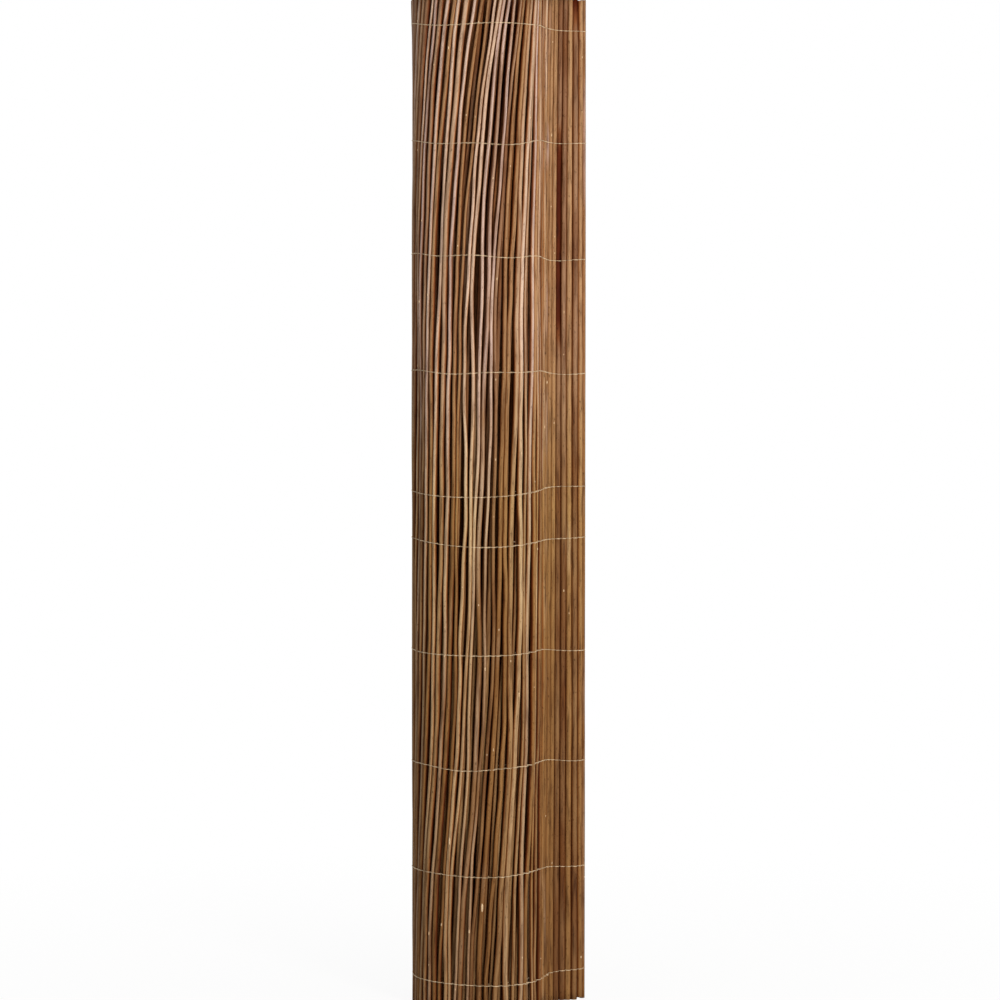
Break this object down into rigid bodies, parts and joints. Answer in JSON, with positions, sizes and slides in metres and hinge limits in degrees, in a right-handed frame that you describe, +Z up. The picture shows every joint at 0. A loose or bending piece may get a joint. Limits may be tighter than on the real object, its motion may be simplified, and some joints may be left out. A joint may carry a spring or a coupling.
{
  "type": "willow fence roll",
  "caption": "Willow fence rolled up and standing on its end: thin willow rods side by side, bound by rows of wire, wound into a roll with a loose outer edge, for garden screening.",
  "frame": {"origin": "middle of the footprint on the floor, under the roll and its loose edge together", "axes": "+Z up along the rods, -Y towards the front, +X towards the loose edge"},
  "size_m": [0.2644, 0.2, 1.5],
  "materials": {
    "willow_bark": "dry natural bark, matte, brown to tan",
    "binding_wire": "thin pale galvanised wire, dull"
  },
  "bodies": {
    "root": {"willow_mat": "willow_bark", "wire_row_1": "binding_wire", "wire_row_2": "binding_wire", "wire_row_3": "binding_wire", "wire_row_4": "binding_wire", "wire_row_5": "binding_wire", "wire_row_6": "binding_wire", "wire_row_7": "binding_wire", "wire_row_8": "binding_wire", "wire_row_9": "binding_wire", "wire_row_10": "binding_wire"}
  },
  "joints": []
}
